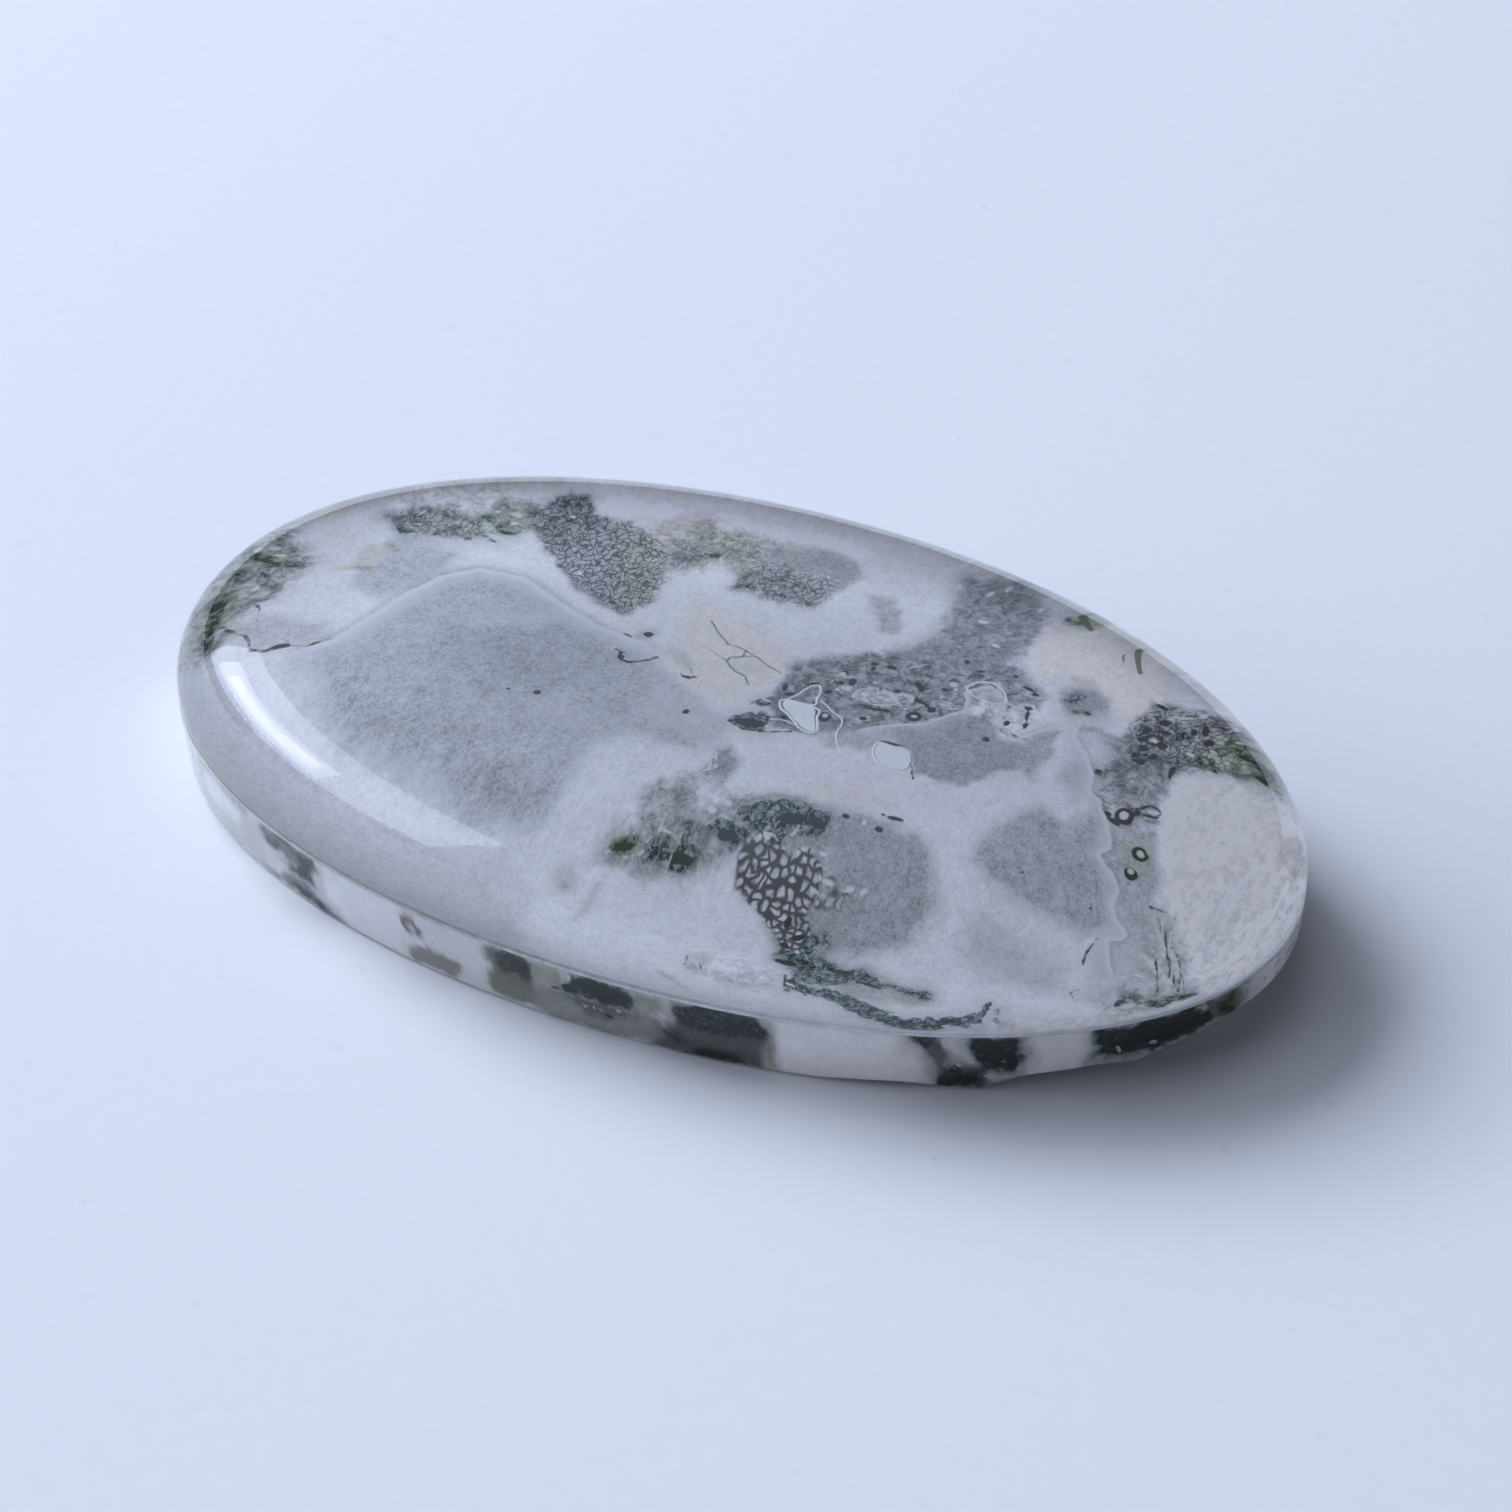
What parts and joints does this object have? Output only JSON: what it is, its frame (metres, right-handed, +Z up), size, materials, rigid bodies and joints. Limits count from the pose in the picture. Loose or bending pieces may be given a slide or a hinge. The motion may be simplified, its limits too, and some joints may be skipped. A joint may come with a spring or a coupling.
{
  "type": "moss agate doublet cabochon",
  "caption": "Oval doublet cabochon: a clear domed crystal cap cemented to a flat slab of white, grey and green moss agate.",
  "frame": {"origin": "middle of the flat underside, on the surface that the stone rests on", "axes": "+X along the long axis towards the chipped end, +Y across the stone, +Z up through the dome"},
  "size_m": [0.042, 0.0242, 0.0076],
  "materials": {
    "moss_agate": "polished opaque stone, white and grey with green and blackish moss",
    "cement": "clear hardened cement with a satin edge",
    "rock_crystal": "clear polished crystal"
  },
  "bodies": {
    "root": {"agate_base": "moss_agate", "glue_film": "cement", "quartz_cap": "rock_crystal"}
  },
  "joints": []
}
